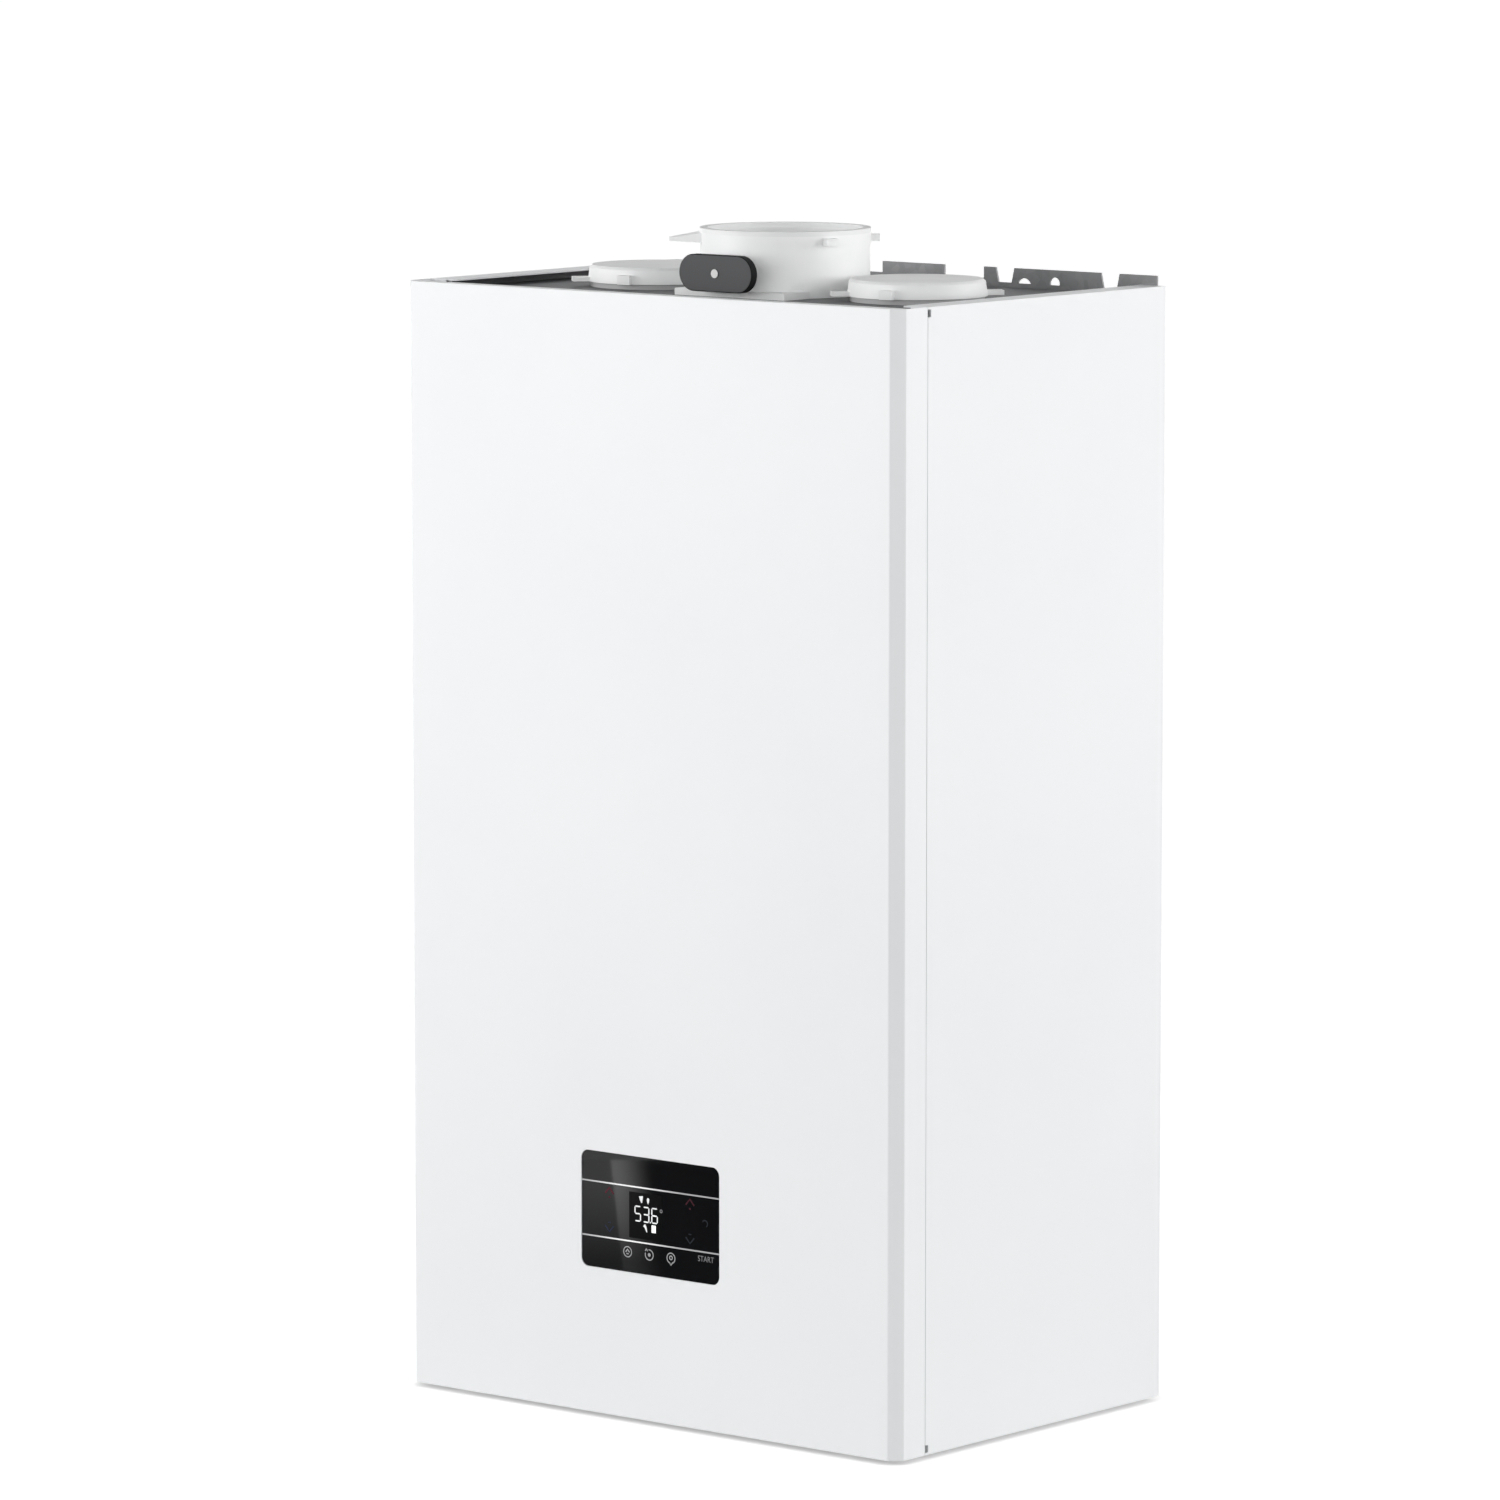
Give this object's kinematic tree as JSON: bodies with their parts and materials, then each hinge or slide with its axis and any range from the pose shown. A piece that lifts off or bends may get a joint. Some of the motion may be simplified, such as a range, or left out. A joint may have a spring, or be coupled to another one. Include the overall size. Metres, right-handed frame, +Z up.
{
  "type": "wall-hung gas boiler",
  "caption": "White wall-hung condensing boiler: tall sheet casing with a black display, a round flue collar and capped air ports on top, and full inner works",
  "frame": {"origin": "on the wall plane, at the middle of the lower edge of the back panel", "axes": "+X to the right seen from the front, +Y into the wall, +Z up"},
  "size_m": [0.42, 0.28, 0.777],
  "materials": {
    "white_paint": "satin powder coat",
    "grey_paint": "matt dark grey coat",
    "zinc_sheet": "galvanised sheet",
    "zinc_screw": "bright zinc",
    "rubber": "matt",
    "pale_silicone": "moulded satin",
    "white_plastic": "moulded satin",
    "vessel_paint": "gloss coat",
    "stainless": "drawn stainless steel",
    "cast_aluminium": "cast, blasted",
    "ceramic": "fired, unglazed",
    "black_plastic": "glass-filled moulding",
    "motor_paint": "matt coat",
    "copper": "drawn copper",
    "brass": "machined",
    "red_plastic": "moulded",
    "blue_plastic": "moulded",
    "board": "lacquered laminate",
    "display": "polished black glass"
  },
  "bodies": {
    "boiler": {"air_silencer": "black_plastic", "air_vent": "black_plastic", "back_panel": "zinc_sheet", "bottom_plate": "zinc_sheet", "burner": "stainless", "burner_door": "cast_aluminium", "cable_glands": "black_plastic", "chassis_screws": "zinc_screw", "condensate_hose": "rubber", "condensate_trap": "white_plastic", "cover_seals": "rubber", "domestic_water_pipes": "copper", "door_nuts": "zinc_screw", "exchanger_bracket": "zinc_sheet", "exchanger_coil": "stainless", "exchanger_shell": "stainless", "expansion_vessel": "vessel_paint", "fan_housing": "black_plastic", "fan_motor": "motor_paint", "filling_tap": "black_plastic", "flow_group": "black_plastic", "flow_pipe": "copper", "flow_sensor": "black_plastic", "flue_collar": "white_plastic", "flue_pipe": "white_plastic", "flue_seals": "pale_silicone", "gas_pipes": "copper", "gas_valve": "cast_aluminium", "hinge_brackets": "zinc_sheet", "ignition_electrodes": "ceramic", "left_side_panel": "white_paint", "mixing_hood": "cast_aluminium", "pipe_connections": "brass", "plate_exchanger": "stainless", "pressure_sensor": "brass", "pump_body": "black_plastic", "pump_motor": "motor_paint", "return_pipe": "copper", "right_side_panel": "white_paint", "safety_valve": "brass", "top_plate": "grey_paint", "valve_actuator": "black_plastic", "venturi_mixer": "cast_aluminium", "vessel_diaphragm": "rubber", "vessel_pipe": "copper"},
    "cover": {"front_cover": "white_paint", "cover_screws": "zinc_screw"},
    "controls": {"control_box": "black_plastic", "control_box_lid": "black_plastic", "circuit_board": "board", "display_glass": "display"},
    "plug": {"sampling_plug": "rubber"},
    "left_cap": {"left_air_cap": "white_plastic"},
    "right_cap": {"right_air_cap": "white_plastic"},
    "fan": {"fan_impeller": "black_plastic"},
    "pump": {"pump_impeller": "black_plastic"},
    "turbine": {"flow_turbine": "black_plastic"},
    "valve": {"valve_spindle": "brass"},
    "safety": {"safety_knob": "red_plastic"},
    "filling": {"filling_knob": "blue_plastic"}
  },
  "joints": [
    {"name": "cover_pull", "type": "slide", "parent": "boiler", "child": "cover", "axis": [0, -1, 0], "range_m": [0, 0.45]},
    {"name": "controls_tilt", "type": "hinge", "parent": "boiler", "child": "controls", "pos_m": [0, -0.262, 0.054], "axis": [1, 0, 0], "range_deg": [0, 80]},
    {"name": "plug_pull", "type": "slide", "parent": "boiler", "child": "plug", "axis": [0, -1, 0], "range_m": [0, 0.04]},
    {"name": "left_cap_lift", "type": "slide", "parent": "boiler", "child": "left_cap", "axis": [0, 0, 1], "range_m": [0, 0.05]},
    {"name": "right_cap_lift", "type": "slide", "parent": "boiler", "child": "right_cap", "axis": [0, 0, 1], "range_m": [0, 0.05]},
    {"name": "fan_spin", "type": "hinge", "parent": "boiler", "child": "fan", "pos_m": [0.129, 0, 0.59], "axis": [0, 1, 0], "continuous": true},
    {"name": "pump_spin", "type": "hinge", "parent": "boiler", "child": "pump", "pos_m": [0.134, 0, 0.198], "axis": [0, 1, 0], "continuous": true},
    {"name": "turbine_spin", "type": "hinge", "parent": "boiler", "child": "turbine", "pos_m": [0.067, -0.098, 0], "axis": [0, 0, 1], "continuous": true},
    {"name": "valve_stroke", "type": "slide", "parent": "boiler", "child": "valve", "axis": [0, 0, 1], "range_m": [0, 0.008]},
    {"name": "safety_turn", "type": "hinge", "parent": "boiler", "child": "safety", "pos_m": [-0.134, 0, 0.115], "axis": [0, -1, 0], "range_deg": [0, 90]},
    {"name": "filling_turn", "type": "hinge", "parent": "boiler", "child": "filling", "pos_m": [0.035, -0.132, 0], "axis": [0, 0, 1], "range_deg": [0, 270]}
  ],
  "couplings": [
    {"joint": "controls_tilt", "follows": "cover_pull", "rad_per_m": 3.1}
  ]
}
